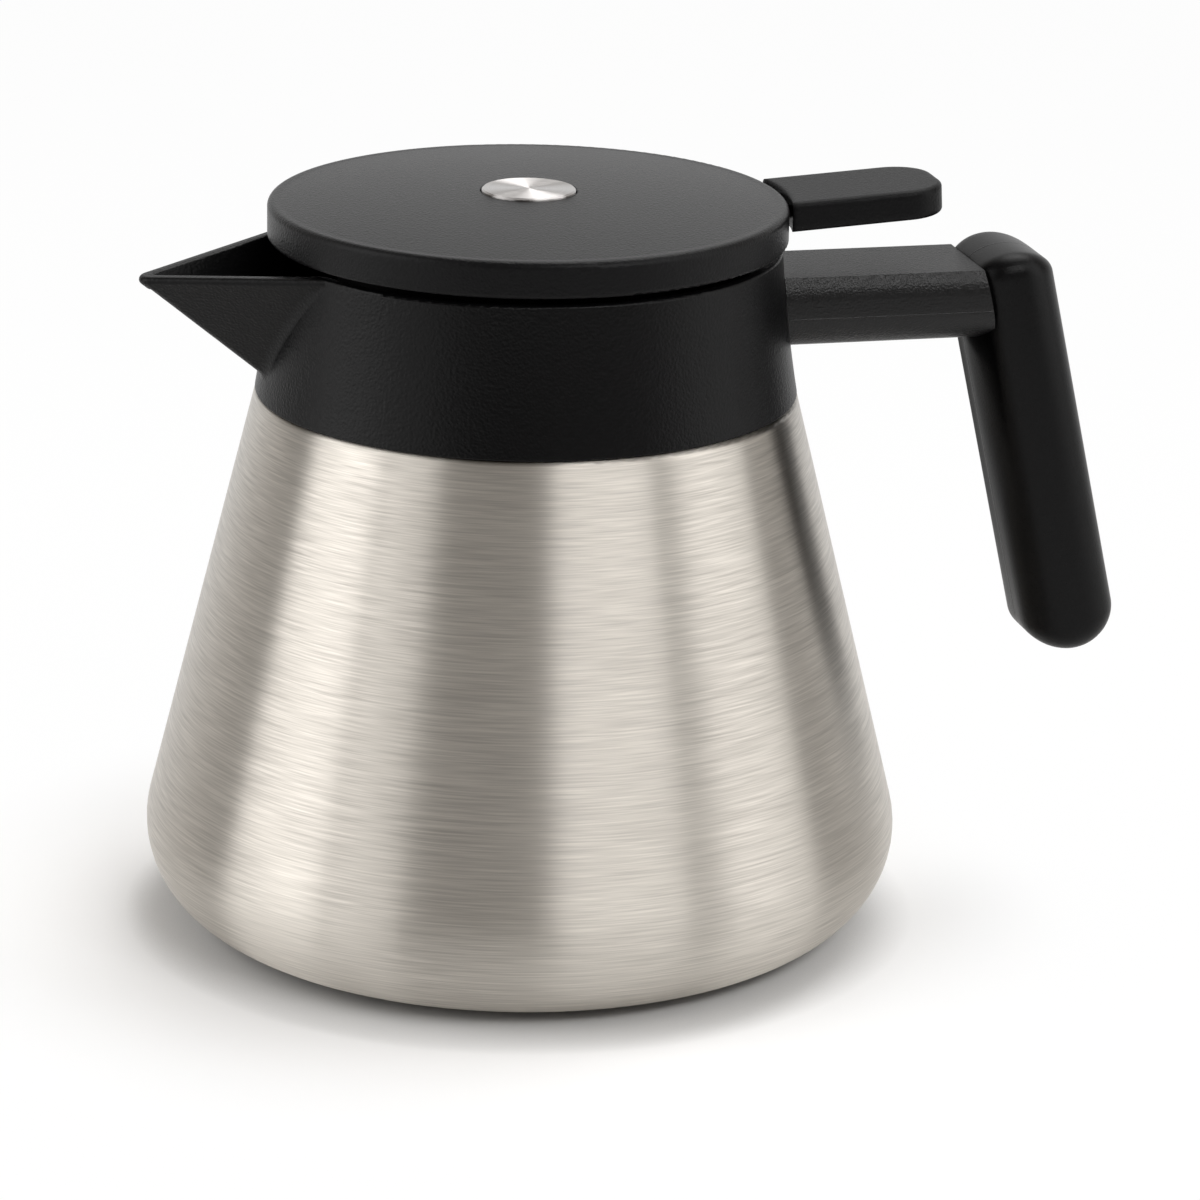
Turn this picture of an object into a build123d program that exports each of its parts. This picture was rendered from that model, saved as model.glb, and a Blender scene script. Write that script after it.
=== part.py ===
from build123d import *
from math import atan, cos, radians, sin, tan
import os

# A one-litre insulated serving jug: a steel double-walled flask, a moulded collar with an open V spout,
# a side handle with an upright grip, and a round lid on a rear hinge that a thumb lever opens.
# Millimetres. Z is up along the jug's axis, and the base stands on Z = 0.
# The handle points to +X and the spout to -X.

# Steel body
shoulder_height = 110.8
shoulder_flare = 3.7
cone_angle = 14.25
base_corner_radius = 19.6
shell_wall = 0.8
flask_wall = 0.7
vacuum_gap = 5.0
floor_gap = 6.5
rebate_height = 3.0
neck_inset = 11.9
neck_rise = 5.4
weld_gap = 0.1
flask_floor_height = 28.0
base_opening_radius = 52.0
weld_lap = 3.0

# Base pad and vacuum seal
pad_proud = 0.5
pad_clearance = 0.4
groove_width = 1.6
groove_depth = 0.4
groove_count = 3
dimple_radius = 3.8
dimple_depth = 3.6
seal_drop_height = 2.2

# Collar and spout
collar_rise = 30.0
rim_radius = 50.9
collar_bow = 0.4
collar_wall = 2.4
collar_seam = 0.3
collar_floor = 2.2
gasket_thickness = 1.2
spout_reach = 30.5
spout_root_angle = 27.5
spout_root_rise = 3.7
spout_rim_angle = 6.0
spout_keel_rounding = 2.4
spout_wall = 2.8
spout_channel_rounding = 1.0
spout_blend = 2.5
spout_lip = 0.4
spout_lip_height = 2.6
spout_lip_rounding = 0.9
rim_rounding = 0.6

# Neck ring that clamps the collar to the flask
ring_flange_width = 6.4
ring_flange_thickness = 1.6
ring_wall = 2.7
ring_notches = 6
ring_notch_depth = 1.5
ring_notch_width = 4.0

# Lid cover, lid base and inlay
lid_overhang = 1.1
lid_gap = 1.6
lid_edge_height = 7.2
lid_crown = 2.0
lid_edge_rounding = 1.3
lid_skirt = 2.2
lid_top_wall = 2.2
lid_base_inset = 0.5
lid_base_thickness = 2.2
lid_base_clearance = 0.3
inlay_radius = 9.4
inlay_thickness = 1.9
inlay_proud = 0.45
inlay_bevel = 0.3
inlay_gap = 0.3
cover_screw_inset = 8.0
cover_screw_count = 3
cover_screw_start = 60
cover_screw_length = 3.2

# Stopper
plug_gap = 1.9
plug_depth = 4.9
drum_inset = 1.0
stopper_wall = 2.0
stopper_rounding = 0.5
stopper_flange_width = 2.6
stopper_flange_thickness = 2.2
seal_thickness = 1.4
seal_gap = 0.2
stopper_hub_radius = 5.0
stopper_hub_length = 12.0

# Lid hinge
hinge_inset = 6.7
hinge_drop = 4.8
hinge_eye_radius = 3.0
pin_radius = 1.5
pin_chamfer = 0.25
running_fit = 0.06
tight_fit = 0.02
knuckle_inner = 5.2
knuckle_width = 2.6
knuckle_gap = 0.3
ear_width = 2.4
block_height = 8.0
block_drop = 3.5
block_front_inset = 1.9
block_back_inset = 1.8
block_flange = 2.0
block_flange_thickness = 1.4
slide_clearance = 0.3
rail_width = 2.1
rail_shelf = 4.5
rail_seam = 0.1
spring_wire_radius = 0.35
spring_turns = 5
spring_start_angle = -90
spring_pitch = 0.85
spring_leg = 6.8

# Thumb lever
lever_half_width = 11.5
lever_reach = 32.6
lever_thickness = 6.0
lever_tilt = 3.5
lever_tip_rounding = 8.5
lever_edge_rounding = 0.9
lever_gap = 0.8
tongue_half_width = 5.0
tongue_thickness = 2.5
tongue_drop = 1.9
tongue_length = 22.0
tongue_clearance = 0.15
lever_screw_shares = (0.35, 0.75)

# Handle
arm_top_below_rim = 6.6
arm_top_half_width = 11.3
arm_half_width = 12.3
arm_height = 15.2
arm_widest_drop = 6.5
arm_bottom_rounding = 8.5
arm_edge_rounding = 0.35
arm_seam = 0.15
grip_axis_reach = 98.3
grip_lean = 12.8
grip_thickness = 19.8
grip_width = 25.8
grip_side_rounding = 9.4
grip_length = 75.0
grip_seat_inset = 5.8
grip_head_rise = 2.8
grip_head_radius = 12.0
grip_head_offset = 1.6
grip_head_rounding = 4.0
grip_end_radius = 11.0
grip_end_rounding = 6.0
core_setback = 3.4
core_height = 6.0
core_width = 15.0
core_neck_width = 10.0
core_head_length = 6.0
core_fit = 0.15
dowel_radius = 1.5
dowel_length = 14.0
dowel_shares = (0.5, 0.9)
arm_screw_spacing = 8.0
arm_screw_reach = 8.0
arm_screw_hole_reach = 12.0

# Fasteners
screw_radius = 1.5
screw_head_radius = 2.7
screw_head_height = 1.7
screw_clearance = 0.2
screw_end_room = 1.0
small_screw_radius = 1.0
small_head_radius = 2.0
small_head_height = 1.0

# Length that counts as nothing when edges are picked by their place
tolerance = 0.01

# Radii that follow from the collar's rim
shoulder_radius = rim_radius + shoulder_flare
lid_radius = rim_radius + lid_overhang
neck_radius = rim_radius - neck_inset
neck_bore = neck_radius - shell_wall - weld_gap - flask_wall
ring_flange_radius = neck_radius + ring_flange_width
plug_radius = neck_bore - plug_gap
drum_radius = neck_radius - drum_inset
stopper_flange_radius = neck_radius + stopper_flange_width
spout_point = rim_radius + spout_reach

# Heights and places that follow from the dimensions above
deck_height = shoulder_height + rebate_height
lip_height = deck_height + neck_rise
lip_top = lip_height + flask_wall
collar_bottom = shoulder_height + collar_seam
rim_height = shoulder_height + collar_rise
rebate_radius = shoulder_radius - collar_wall - collar_seam
floor_bottom = deck_height + gasket_thickness
floor_top = floor_bottom + collar_floor
base_plate_height = pad_proud + shell_wall
lid_bottom = rim_height + lid_gap
lid_top = lid_bottom + lid_edge_height
lid_apex = lid_top + lid_crown
base_plate_bottom = lid_bottom + lid_base_inset
base_plate_top = base_plate_bottom + lid_base_thickness
inlay_seat = lid_apex + inlay_proud - inlay_thickness
seal_bottom = lip_top + seal_gap
seal_top = seal_bottom + seal_thickness
plug_bottom = lip_top - plug_depth
hinge_x = rim_radius - hinge_inset
hinge_z = rim_height - hinge_drop
knuckle_outer = knuckle_inner + knuckle_width
ear_inner = knuckle_outer + knuckle_gap
ear_outer = ear_inner + ear_width
block_front = hinge_x - block_front_inset
block_back = hinge_x + block_back_inset
block_top = hinge_z - block_drop
block_bottom = block_top - block_height
arm_top = rim_height - arm_top_below_rim
arm_bottom = arm_top - arm_height
arm_middle = arm_top - arm_height / 2
core_root = rim_radius + core_setback
cover_screw_circle = lid_radius - cover_screw_inset


def cone_radius(height):
    """Radius of the steel shell's outer cone at a height."""
    return shoulder_radius + (shoulder_height - height) * tan(radians(cone_angle))


def outline(*corners):
    """Closed face in the XZ plane from corners (x, z) or (x, z, rounding)."""
    points = [corner[:2] for corner in corners]
    roundings = [corner[2] if len(corner) > 2 else 0 for corner in corners]
    return Plane.XZ * make_face(FilletPolyline(*points, radius=roundings, close=True))


def turned(*corners):
    """Solid of revolution about the jug's axis from its half section."""
    return revolve(outline(*corners), Axis.Z)


def sheet(wall, *corners):
    """Turned sheet-metal shell: the corners are its outer surface, and the wall lies inside it."""
    points = [corner[:2] for corner in corners]
    roundings = [corner[2] if len(corner) > 2 else 0 for corner in corners[1:-1]]
    surface = FilletPolyline(*points, radius=roundings)
    section = make_face(offset(surface, amount=wall, side=Side.LEFT))
    return revolve(Plane.XZ * section, Axis.Z)


def ring(inner, outer, bottom, top, rounding=0):
    """Plain turned ring."""
    return turned(
        (inner, bottom), (outer, bottom, rounding), (outer, top, rounding), (inner, top)
    )


def disc(radius, bottom, top, rounding=0):
    """Plain turned disc."""
    return turned((0, bottom), (radius, bottom, rounding), (radius, top, rounding), (0, top))


def block(x_range, y_range, z_range):
    """Rectangular solid between two limits on each axis."""
    lengths = [high - low for low, high in (x_range, y_range, z_range)]
    centre = [(high + low) / 2 for low, high in (x_range, y_range, z_range)]
    return Pos(*centre) * Box(*lengths)


def rod(radius, start, length, direction):
    """Round rod from a start point along a direction."""
    return Plane(start, z_dir=direction) * extrude(Circle(radius), length)


def screw(start, direction, length, radius=screw_radius, head=(screw_head_radius, screw_head_height)):
    """Screw whose head starts at a point and whose shank runs on along the direction."""
    under_head = Vector(start) + Vector(direction) * head[1]
    return rod(head[0], start, head[1], direction) + rod(radius, under_head, length, direction)


def screw_hole(start, direction, length, radius=screw_radius, head=(screw_head_radius, screw_head_height)):
    """Counterbored clearance hole for the same screw, open towards its head."""
    wide = (head[0] + screw_clearance, head[1] + screw_clearance)
    return screw(start, direction, length, radius + tight_fit, wide)


def outer_shell():
    """Cone of the outer steel body, from its turned-in foot to the lip round its shoulder."""
    return sheet(
        shell_wall,
        (base_opening_radius, pad_proud),
        (cone_radius(pad_proud), pad_proud, base_corner_radius),
        (shoulder_radius, shoulder_height, shell_wall),
        (rebate_radius + shell_wall, shoulder_height),
    )


def shell_neck():
    """Pressing with the step, the deck and the neck tube, whose flange is welded under the shell's lip."""
    flange_top = shoulder_height - shell_wall
    step_radius = rebate_radius - weld_gap
    return sheet(
        shell_wall,
        (shoulder_radius - shell_wall - weld_gap, flange_top),
        (step_radius, flange_top, shell_wall),
        (step_radius, deck_height, 2 * shell_wall),
        (neck_radius, deck_height, 2 * shell_wall),
        (neck_radius, lip_height),
    )


def flask_radius(height):
    """Radius of the inner flask's cone at a height."""
    return cone_radius(height) - (shell_wall + vacuum_gap) / cos(radians(cone_angle))


def flask_floor():
    """Bowl that closes the inner flask from below, butt-welded to its wall."""
    floor = base_plate_height + floor_gap
    return sheet(
        flask_wall,
        (0, floor),
        (flask_radius(floor), floor, base_corner_radius - vacuum_gap),
        (flask_radius(flask_floor_height), flask_floor_height),
    )


def inner_flask():
    """Wall, shoulder and neck of the inner flask, with the lip that is welded to the shell's neck."""
    ceiling = deck_height - shell_wall - vacuum_gap
    neck = neck_radius - shell_wall - weld_gap
    return sheet(
        flask_wall,
        (flask_radius(flask_floor_height), flask_floor_height),
        (flask_radius(ceiling), ceiling, vacuum_gap),
        (neck, ceiling, vacuum_gap / 2),
        (neck, lip_height, weld_gap),
        (neck_radius, lip_height),
    )


def base_plate():
    slope = dimple_radius / 2
    return sheet(
        shell_wall,
        (0, base_plate_height + dimple_depth),
        (dimple_radius, base_plate_height + dimple_depth, shell_wall),
        (dimple_radius + slope, base_plate_height, shell_wall),
        (base_opening_radius + weld_lap, base_plate_height),
    )


def vacuum_seal():
    top = base_plate_height + dimple_depth
    return disc(dimple_radius - shell_wall, top - seal_drop_height, top, shell_wall / 2)


def base_pad():
    radius = base_opening_radius - pad_clearance
    pad = disc(radius, 0, base_plate_height, pad_proud / 2)
    spacing = radius / (groove_count + 1)
    for index in range(1, groove_count + 1):
        inner = index * spacing
        pad -= ring(inner, inner + groove_width, -groove_depth, groove_depth)
    return pad


def collar_outside(clearance=0.0):
    """Solid of the collar's outer form, bowed slightly inwards between its foot and its rim."""
    foot = (shoulder_radius + clearance, collar_bottom)
    rim = (rim_radius + clearance, rim_height)
    middle = ((foot[0] + rim[0]) / 2 - collar_bow, (foot[1] + rim[1]) / 2)
    side = ThreePointArc(foot, middle, rim)
    section = make_face(side + Polyline(rim, (0, rim[1]), (0, foot[1]), foot))
    section = fillet(section.vertices().sort_by(Axis.X)[-1], collar_seam)
    outer_corners = section.vertices().filter_by(lambda corner: corner.X > 0)
    section = fillet(outer_corners.sort_by(Axis.Y)[-1], rim_rounding)
    return revolve(Plane.XZ * section, Axis.Z)


def collar_basin(clearance=0.0):
    """Round space inside the collar, from its floor up through the rim."""
    rim_bore = rim_radius - collar_wall - clearance
    return turned(
        (0, floor_top),
        (rebate_radius - collar_wall / 2 - clearance, floor_top, collar_wall),
        (rim_bore, rim_height - rim_rounding),
        (rim_bore + rim_rounding, rim_height),
        (rim_bore + rim_rounding, lid_top),
        (0, lid_top),
    )


def collar_inside():
    """All that is hollow in the collar, with its floor left standing round the flask's neck."""
    socket = disc(rebate_radius + collar_seam, 0, floor_bottom)
    neck_hole = disc(neck_radius + ring_wall + collar_seam, floor_bottom, floor_top)
    return collar_basin() + socket + neck_hole


def spout_root():
    """Distances outwards and sideways from the axis to where the spout's rim meets the collar's rim."""
    angle = radians(spout_root_angle)
    return rim_radius * cos(angle), rim_radius * sin(angle)


def spout_tip_height():
    """Height of the point where the spout's faces would meet, down the slope of its rim."""
    return rim_height - (spout_point - spout_root()[0]) * tan(radians(spout_rim_angle))


def spout_keel_slope():
    """Rise per length of the keel, from its root on the collar to the tip."""
    return (spout_tip_height() - collar_bottom - spout_root_rise) / (spout_point - shoulder_radius)


def spout_half_angle():
    """Half angle of the spout's level section, whose sides pass through the root on the collar's rim."""
    outwards, sideways = spout_root()
    point = spout_point + (rim_height - spout_tip_height()) / spout_keel_slope()
    return atan(sideways / (point - outwards))


def above_spout_rim(drop=0.0):
    """Everything above the spout's sloping rim plane, or above a plane that drops below it."""
    width = 2 * spout_point
    slope = Pos(-spout_root()[0], 0, rim_height - drop) * Rot(0, -spout_rim_angle, 0)
    return slope * Pos(0, 0, width / 2) * Box(width, width, width)


def spout_prism(inset, rounding):
    """Oblique V-shaped prism that runs down along the spout's keel, inset from its outer faces."""
    half = spout_half_angle()
    keel = spout_keel_slope()
    start = -spout_point - (lid_top - spout_tip_height()) / keel + inset / sin(half)
    run = spout_point - rim_radius / 2
    corners = [(start, 0), (start + run, -run * tan(half)), (start + run, run * tan(half))]
    plan = make_face(FilletPolyline(*corners, radius=[rounding, 0, 0], close=True))
    length = (lid_top - collar_bottom) / sin(atan(keel))
    return extrude(Pos(0, 0, lid_top) * plan, length, dir=Vector(1, 0, -keel).normalized())


def spout_rim():
    """Rounded lip that runs round the spout's open top."""
    outer = spout_prism(-spout_lip, spout_keel_rounding + spout_lip)
    band = (outer & above_spout_rim(spout_lip_height)) - above_spout_rim()
    band -= spout_prism(spout_wall, spout_channel_rounding)
    steepest = cos(radians(2 * spout_rim_angle))
    top = band.faces().filter_by(lambda face: face.normal_at().Z > steepest)[0]
    rims = top.edges().filter_by(lambda edge: edge.bounding_box().min.X < -spout_root()[0])
    band = fillet(rims, spout_lip_rounding)
    return band - disc(rim_radius - collar_wall / 2, 0, rim_height) - disc(lid_radius, rim_height, lid_apex)


def spout_channel():
    """V channel through the spout and the collar's wall, down to the collar's floor."""
    above_floor = block((-2 * spout_point, 0), (-rim_radius, rim_radius), (floor_top, lid_top))
    return spout_prism(spout_wall, spout_channel_rounding) & above_floor


def on_spout_junction(edge):
    """Whether an edge of the collar lies where the spout's sides grow out of it."""
    box = edge.bounding_box()
    near_spout = box.max.X < -rim_radius / 2 and box.min.X > -shoulder_radius
    return near_spout and box.min.Z > collar_bottom + 1 and box.size.Z > spout_keel_rounding


def collar():
    spout = spout_prism(0, spout_keel_rounding) - above_spout_rim(spout_lip_height / 2)
    spout -= disc(rim_radius - collar_wall / 2, 0, lid_top)
    body = collar_outside() + spout
    body = fillet(body.edges().filter_by(on_spout_junction), spout_blend)
    body -= collar_inside() + spout_channel()
    body += spout_rim()
    for start, direction in arm_screw_places():
        body -= rod(screw_radius + tight_fit, start, lid_radius, direction)
    return body


def hinge_rail():
    """Bracket on the collar's inner wall: two hooks hold the hinge block, and a shelf carries it."""
    back = block_back + slide_clearance
    reach = ear_outer + block_flange + rail_width
    hook_back = block_back - block_flange_thickness - slide_clearance
    hook_front = hook_back - rail_width / 2
    shelf_bottom = block_bottom - slide_clearance - rail_shelf
    rail = block((back, lid_radius), (-reach, reach), (shelf_bottom, block_top))
    rail += block(
        (block_front + slide_clearance, lid_radius),
        (-ear_outer, ear_outer),
        (shelf_bottom, block_bottom - slide_clearance),
    )
    for side in (-1, 1):
        web = sorted((side * (reach - rail_width + slide_clearance), side * reach))
        hook = sorted((side * (ear_outer + slide_clearance), side * reach))
        rail += block((hook_front, lid_radius), web, (shelf_bottom, block_top))
        rail += block((hook_front, hook_back), hook, (shelf_bottom, block_top))
    rail &= collar_basin(rail_seam)
    for start, direction in arm_screw_places():
        rail -= screw_hole(start, direction, lid_radius)
    return rail


def arm_screw_places():
    """Start and direction of the screws that hold the handle core, from inside the collar."""
    start_x = block_back + slide_clearance
    half = arm_screw_spacing / 2
    return [((start_x, side * half, arm_middle), (1, 0, 0)) for side in (-1, 1)]


def arm_screws():
    length = core_root - block_back + arm_screw_reach
    screws = [
        screw((start[0] + screw_clearance, *start[1:]), direction, length)
        for start, direction in arm_screw_places()
    ]
    return Compound(screws)


def collar_gasket():
    inner = neck_radius + ring_wall + collar_seam
    return ring(inner, rebate_radius - 2 * shell_wall, deck_height, floor_bottom)


def neck_ring():
    bore = neck_radius + weld_gap
    sleeve = ring(bore, neck_radius + ring_wall, deck_height + collar_seam + shell_wall, lip_top)
    flange = ring(bore, ring_flange_radius, floor_top, floor_top + ring_flange_thickness)
    nut = sleeve + flange
    notch = block(
        (ring_flange_radius - ring_notch_depth, lid_radius),
        (-ring_notch_width / 2, ring_notch_width / 2),
        (0, lip_height),
    )
    for index in range(ring_notches):
        nut -= Rot(0, 0, (index + 0.5) * 360 / ring_notches) * notch
    return nut


def crown_ball(inset=0.0):
    """Ball whose cap is the lid's crown, or the underside of its top wall."""
    edge = lid_radius - 2 * lid_edge_rounding
    ball_radius = (edge**2 + lid_crown**2) / (2 * lid_crown)
    return Pos(0, 0, lid_apex - ball_radius) * Sphere(ball_radius - inset)


def cover_screw_places():
    """Start and direction of the screws that hold the cover to the lid base, from below."""
    places = []
    for index in range(cover_screw_count):
        angle = radians(cover_screw_start + index * 360 / cover_screw_count)
        across = (cover_screw_circle * cos(angle), cover_screw_circle * sin(angle))
        places.append(((*across, base_plate_bottom), (0, 0, 1)))
    return places


def lid_cover():
    blank = outline(
        (0, lid_bottom),
        (lid_radius, lid_bottom, lid_edge_rounding / 2),
        (lid_radius, lid_top, lid_edge_rounding),
        (lid_radius - 2 * lid_edge_rounding, lid_top),
        (lid_radius - 2 * lid_edge_rounding, lid_apex),
        (0, lid_apex),
    )
    blank = revolve(blank, Axis.Z) & (crown_ball() + disc(lid_radius, lid_bottom, lid_top))
    cavity = disc(lid_radius - lid_skirt, lid_bottom, lid_apex) & crown_ball(lid_top_wall)
    cover = blank - cavity
    boss_radius = inlay_radius + inlay_gap + stopper_wall
    bosses = disc(boss_radius, base_plate_top, inlay_seat)
    for (x, y, _), direction in cover_screw_places():
        bosses += rod(2 * small_head_radius, (x, y, base_plate_top), lid_top - base_plate_top, direction)
    cover += bosses & crown_ball(lid_top_wall / 2)
    cover -= disc(inlay_radius + inlay_gap, inlay_seat, lid_apex + lid_crown)
    cover -= screw_hole((0, 0, inlay_seat), (0, 0, -1), lid_edge_height)
    for start, direction in cover_screw_places():
        depth = cover_screw_length + screw_end_room
        cover -= screw_hole(start, direction, depth, small_screw_radius, small_head())
    notch = tongue_half_width + 2 * tongue_clearance
    cover -= lever_frame() * block(
        (-2 * lid_skirt - lid_edge_rounding, lever_gap),
        (-notch, notch),
        (-2 * lid_edge_height, -tongue_drop + 2 * tongue_clearance),
    )
    return cover


def small_head():
    return (small_head_radius, small_head_height)


def cover_screws():
    screws = [
        screw(start, direction, cover_screw_length, small_screw_radius, small_head())
        for start, direction in cover_screw_places()
    ]
    return Compound(screws)


def lever_frame():
    """Frame of the tilted lever: its origin is at the lid's edge, and its X runs out along the lever."""
    return Pos(lid_radius, 0, lid_top) * Rot(0, -lever_tilt, 0)


def tongue():
    """Flat tongue of the lid base that carries the thumb lever."""
    return lever_frame() * block(
        (hinge_x - lid_radius, tongue_length),
        (-tongue_half_width, tongue_half_width),
        (-tongue_drop - tongue_thickness, -tongue_drop),
    )


def hinge_profile(radius, foot_x, foot_z):
    """Hinge plate in the XZ plane: an eye about the pin that widens to a straight foot."""
    eye = Pos(hinge_x, hinge_z) * Circle(radius)
    foot = Line((foot_x[0], foot_z), (foot_x[1], foot_z))
    return Plane.XZ * make_hull(eye.edges() + foot.edges())


def hinge_plates(radius, foot_x, foot_z, inner, outer):
    """A pair of hinge plates, one each side of the jug's middle plane."""
    plate = Pos(0, -inner, 0) * extrude(hinge_profile(radius, foot_x, foot_z), outer - inner)
    return plate + mirror(plate, Plane.XZ)


def pin_hole(clearance):
    """Hole for the hinge pin, through all that it passes."""
    return rod(pin_radius + clearance, (hinge_x, -2 * ear_outer, hinge_z), 4 * ear_outer, (0, 1, 0))


def lid_base():
    plate = disc(lid_radius - lid_skirt - lid_base_clearance, base_plate_bottom, base_plate_top)
    riser = block(
        (hinge_x - hinge_eye_radius / 2, hinge_x + hinge_eye_radius),
        (-tongue_half_width, tongue_half_width),
        (base_plate_bottom, lid_top - tongue_drop - tongue_thickness),
    )
    foot = (hinge_x - 2 * hinge_eye_radius, hinge_x + hinge_eye_radius / 2)
    knuckles = hinge_plates(hinge_eye_radius, foot, base_plate_bottom, knuckle_inner, knuckle_outer)
    base = plate + riser + tongue() + knuckles
    base -= pin_hole(running_fit)
    base -= screw_hole((0, 0, inlay_seat), (0, 0, -1), 2 * lid_edge_height)
    for start, direction in cover_screw_places():
        base -= screw_hole(start, direction, lid_edge_height, small_screw_radius, small_head())
    for start, direction in lever_screw_places():
        base -= rod(small_screw_radius + tight_fit, start, lever_thickness - tongue_drop, direction)
    return base


def lever_screw_places():
    """Start and direction of the screws that hold the lever to its tongue, from below."""
    frame = lever_frame()
    upwards = (frame * Pos(0, 0, 1)).position - frame.position
    places = [(share * tongue_length, 0, -lever_thickness) for share in lever_screw_shares]
    return [(tuple((frame * Pos(*place)).position), tuple(upwards)) for place in places]


def thumb_lever():
    """Paddle with a hollow root that follows the lid's edge and a broad rounded tip."""
    length = lever_reach / cos(radians(lever_tilt))
    back = -lid_edge_height
    plan = make_face(
        FilletPolyline(
            (back, -lever_half_width),
            (length, -lever_half_width),
            (length, lever_half_width),
            (back, lever_half_width),
            radius=[0, lever_tip_rounding, lever_tip_rounding, 0],
            close=True,
        )
    )
    paddle = extrude(plan, -lever_thickness)
    around = paddle.edges().filter_by(lambda edge: edge.bounding_box().size.Z < tolerance)
    around = around.filter_by(lambda edge: edge.bounding_box().max.X > back + tolerance)
    paddle = fillet(around, lever_edge_rounding)
    paddle = lever_frame() * paddle
    paddle -= disc(lid_radius + lever_gap, 0, 2 * lid_apex)
    width = tongue_half_width + tongue_clearance
    paddle -= lever_frame() * block(
        (-lid_radius, tongue_length + tongue_clearance),
        (-width, width),
        (-tongue_drop - tongue_thickness - tongue_clearance, -tongue_drop + tongue_clearance),
    )
    for start, direction in lever_screw_places():
        paddle -= screw_hole(start, direction, tongue_thickness, small_screw_radius, small_head())
    return paddle


def lever_screws():
    length = lever_thickness - tongue_drop - small_head_height - tight_fit
    screws = [
        screw(start, direction, length, small_screw_radius, small_head())
        for start, direction in lever_screw_places()
    ]
    return Compound(screws)


def inlay_disc():
    disc_blank = disc(inlay_radius, inlay_seat, inlay_seat + inlay_thickness)
    top_edge = disc_blank.edges().filter_by(GeomType.CIRCLE).sort_by(Axis.Z)[-1]
    return chamfer(top_edge, inlay_bevel)


def lid_bolt():
    head_top = inlay_seat - screw_clearance
    hub_end = base_plate_bottom - stopper_hub_length
    length = head_top - screw_head_height - hub_end - 2 * screw_end_room
    return screw((0, 0, head_top), (0, 0, -1), length)


def stopper():
    flange_top = seal_top + stopper_flange_thickness
    bore = plug_radius - stopper_wall
    roof = base_plate_bottom - stopper_wall
    hub = stopper_hub_radius
    hub_end = base_plate_bottom - stopper_hub_length
    shell = turned(
        (bore, plug_bottom),
        (plug_radius, plug_bottom, stopper_rounding),
        (plug_radius, seal_top),
        (stopper_flange_radius, seal_top, stopper_rounding),
        (stopper_flange_radius, flange_top, stopper_rounding),
        (drum_radius, flange_top),
        (drum_radius, base_plate_bottom),
        (0, base_plate_bottom),
        (0, hub_end),
        (hub, hub_end),
        (hub, roof),
        (bore, roof),
    )
    bolt_hole = rod(screw_radius + tight_fit, (0, 0, hub_end + screw_end_room), stopper_hub_length, (0, 0, 1))
    return shell - bolt_hole


def stopper_cap():
    return disc(plug_radius - stopper_wall - weld_gap, plug_bottom, plug_bottom + stopper_wall)


def stopper_foam():
    clearance = 2 * weld_gap
    radius = plug_radius - stopper_wall - clearance
    top = base_plate_bottom - stopper_wall - clearance
    bottom = plug_bottom + stopper_wall + clearance
    hub_end = base_plate_bottom - stopper_hub_length - clearance
    return disc(radius, bottom, top) - disc(stopper_hub_radius + clearance, hub_end, top)


def stopper_seal():
    inner = plug_radius + seal_gap
    return ring(inner, stopper_flange_radius - seal_gap, seal_bottom, seal_top)


def hinge_block():
    ears = hinge_plates(hinge_eye_radius, (block_front, block_back), block_top, ear_inner, ear_outer)
    back = block((block_front, block_back), (-ear_outer, ear_outer), (block_bottom, block_top))
    reach = ear_outer + block_flange
    flanges = block(
        (block_back - block_flange_thickness, block_back), (-reach, reach), (block_bottom, block_top)
    )
    return ears + back + flanges - pin_hole(tight_fit)


def hinge_pin():
    pin = rod(pin_radius, (hinge_x, -ear_outer, hinge_z), 2 * ear_outer, (0, 1, 0))
    return chamfer(pin.edges().filter_by(GeomType.CIRCLE), pin_chamfer)


def torsion_spring():
    """Coil about the hinge pin, with one leg down the hinge block and one up under the lid."""
    mean_radius = pin_radius + running_fit + 2 * spring_wire_radius
    length = spring_turns * spring_pitch
    coil = Helix(spring_pitch, length, mean_radius, (hinge_x, -length / 2, hinge_z), (0, 1, 0))
    coil = coil.rotate(Axis((hinge_x, 0, hinge_z), (0, 1, 0)), spring_start_angle)
    first = Line(coil @ 0 - (coil % 0) * spring_leg, coil @ 0)
    last = Line(coil @ 1, coil @ 1 + (coil % 1) * spring_leg)
    path = first + coil + last
    wire = Plane(path @ 0, z_dir=path % 0) * Circle(spring_wire_radius)
    return sweep(wire, path=path)


def arm_section():
    """Half section of the handle arm, flat on top and rounded below, mirrored about its middle."""
    top = (arm_top_half_width, 0)
    widest = (arm_half_width, -arm_widest_drop)
    above = ((top[0] + widest[0]) / 2 + arm_edge_rounding / 2, -arm_widest_drop / 2)
    flat = arm_half_width - arm_bottom_rounding
    low_corner = Vector(flat, -arm_height + arm_bottom_rounding)
    bulge = arm_bottom_rounding * sin(radians(45))
    lower_start = (arm_half_width, low_corner.Y)
    lower_middle = (low_corner.X + bulge, low_corner.Y - bulge)
    edges = (
        Line((0, 0), top)
        + ThreePointArc(top, above, widest)
        + Line(widest, lower_start)
        + ThreePointArc(lower_start, lower_middle, (flat, -arm_height))
        + Line((flat, -arm_height), (0, -arm_height))
        + Line((0, -arm_height), (0, 0))
    )
    half = make_face(edges)
    return half + mirror(half, Plane.YZ)


def arm_bar(reach, clearance=0.0):
    """Arm's solid section, run out from inside the collar to a reach."""
    start = rim_radius / 2
    frame = Plane((start, 0, arm_top), x_dir=(0, 1, 0), z_dir=(1, 0, 0))
    section = arm_section()
    if clearance:
        section = offset(section, clearance)
    return frame * extrude(section, reach - start)


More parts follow.
